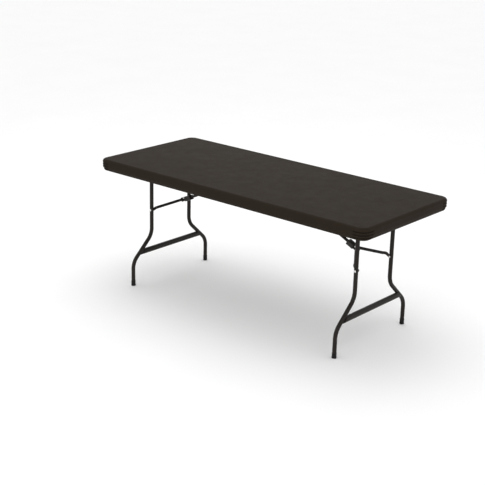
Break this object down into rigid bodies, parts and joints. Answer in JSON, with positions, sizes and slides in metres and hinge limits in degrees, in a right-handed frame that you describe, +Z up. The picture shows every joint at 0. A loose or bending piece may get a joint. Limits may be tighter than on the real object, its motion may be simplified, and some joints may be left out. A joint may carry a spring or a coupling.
{
  "type": "folding table",
  "caption": "Long folding table with a moulded plastic top, bent tube leg sets, Y braces and sliding lock rings.",
  "frame": {"origin": "centre of the footprint, on the floor", "axes": "+X along the table's length, +Y across its width towards the back, +Z up"},
  "size_m": [1.829, 0.762, 0.737],
  "materials": {
    "top_plastic": "fine pebbled, low gloss",
    "frame_steel": "satin powder coat",
    "ring_steel": "satin",
    "zinc_steel": "bright zinc plate",
    "foot_plastic": "matte",
    "bushing_plastic": "matte"
  },
  "bodies": {
    "tabletop": {"table_top": "top_plastic", "front_rail": "frame_steel", "rear_rail": "frame_steel", "rail_screws": "zinc_steel", "bracket_screws": "zinc_steel", "left_bracket": "zinc_steel", "left_bracket_pin": "zinc_steel", "left_bushings": "bushing_plastic", "right_bracket": "zinc_steel", "right_bracket_pin": "zinc_steel", "right_bushings": "bushing_plastic"},
    "left_legs": {"left_pivot_tube": "frame_steel", "left_front_leg": "frame_steel", "left_rear_leg": "frame_steel", "left_crossbar": "frame_steel", "left_front_foot": "foot_plastic", "left_rear_foot": "foot_plastic", "left_leg_rivets": "zinc_steel"},
    "left_link": {"left_link": "frame_steel"},
    "left_fork": {"left_yoke": "frame_steel", "left_front_arm": "frame_steel", "left_rear_arm": "frame_steel", "left_elbow_pin": "zinc_steel", "left_yoke_rivet": "zinc_steel", "left_arm_rivets": "zinc_steel"},
    "left_ring": {"left_lock_ring": "ring_steel"},
    "right_legs": {"right_pivot_tube": "frame_steel", "right_front_leg": "frame_steel", "right_rear_leg": "frame_steel", "right_crossbar": "frame_steel", "right_front_foot": "foot_plastic", "right_rear_foot": "foot_plastic", "right_leg_rivets": "zinc_steel"},
    "right_link": {"right_link": "frame_steel"},
    "right_fork": {"right_yoke": "frame_steel", "right_front_arm": "frame_steel", "right_rear_arm": "frame_steel", "right_elbow_pin": "zinc_steel", "right_yoke_rivet": "zinc_steel", "right_arm_rivets": "zinc_steel"},
    "right_ring": {"right_lock_ring": "ring_steel"}
  },
  "joints": [
    {"name": "left_leg_fold", "type": "hinge", "parent": "tabletop", "child": "left_legs", "pos_m": [-0.7225, 0, 0.688], "axis": [0, -1, 0], "range_deg": [0, 90]},
    {"name": "left_link_turn", "type": "hinge", "parent": "tabletop", "child": "left_link", "pos_m": [-0.11357, 0, 0.714], "axis": [0, -1, 0], "range_deg": [-23.13, 0.5]},
    {"name": "left_elbow_turn", "type": "hinge", "parent": "left_link", "child": "left_fork", "pos_m": [-0.57443, 0, 0.49527], "axis": [0, -1, 0], "range_deg": [-0.5, 175.72]},
    {"name": "left_ring_slide", "type": "slide", "parent": "left_link", "child": "left_ring", "axis": [0.9034, 0, 0.4288], "range_m": [-0.0005, 0.3555]},
    {"name": "right_leg_fold", "type": "hinge", "parent": "tabletop", "child": "right_legs", "pos_m": [0.7225, 0, 0.688], "axis": [0, 1, 0], "range_deg": [0, 90]},
    {"name": "right_link_turn", "type": "hinge", "parent": "tabletop", "child": "right_link", "pos_m": [0.11357, 0, 0.714], "axis": [0, 1, 0], "range_deg": [-23.13, 0.5]},
    {"name": "right_elbow_turn", "type": "hinge", "parent": "right_link", "child": "right_fork", "pos_m": [0.57443, 0, 0.49527], "axis": [0, 1, 0], "range_deg": [-0.5, 175.72]},
    {"name": "right_ring_slide", "type": "slide", "parent": "right_link", "child": "right_ring", "axis": [-0.9034, 0, 0.4288], "range_m": [-0.0005, 0.3555]}
  ],
  "couplings": [
    {"joint": "left_link_turn", "follows": "left_leg_fold", "ratio": -0.25684},
    {"joint": "left_elbow_turn", "follows": "left_leg_fold", "ratio": 1.9523},
    {"joint": "left_ring_slide", "follows": "left_leg_fold", "m_per_rad": 0.226},
    {"joint": "right_link_turn", "follows": "right_leg_fold", "ratio": -0.25684},
    {"joint": "right_elbow_turn", "follows": "right_leg_fold", "ratio": 1.9523},
    {"joint": "right_ring_slide", "follows": "right_leg_fold", "m_per_rad": 0.226}
  ]
}
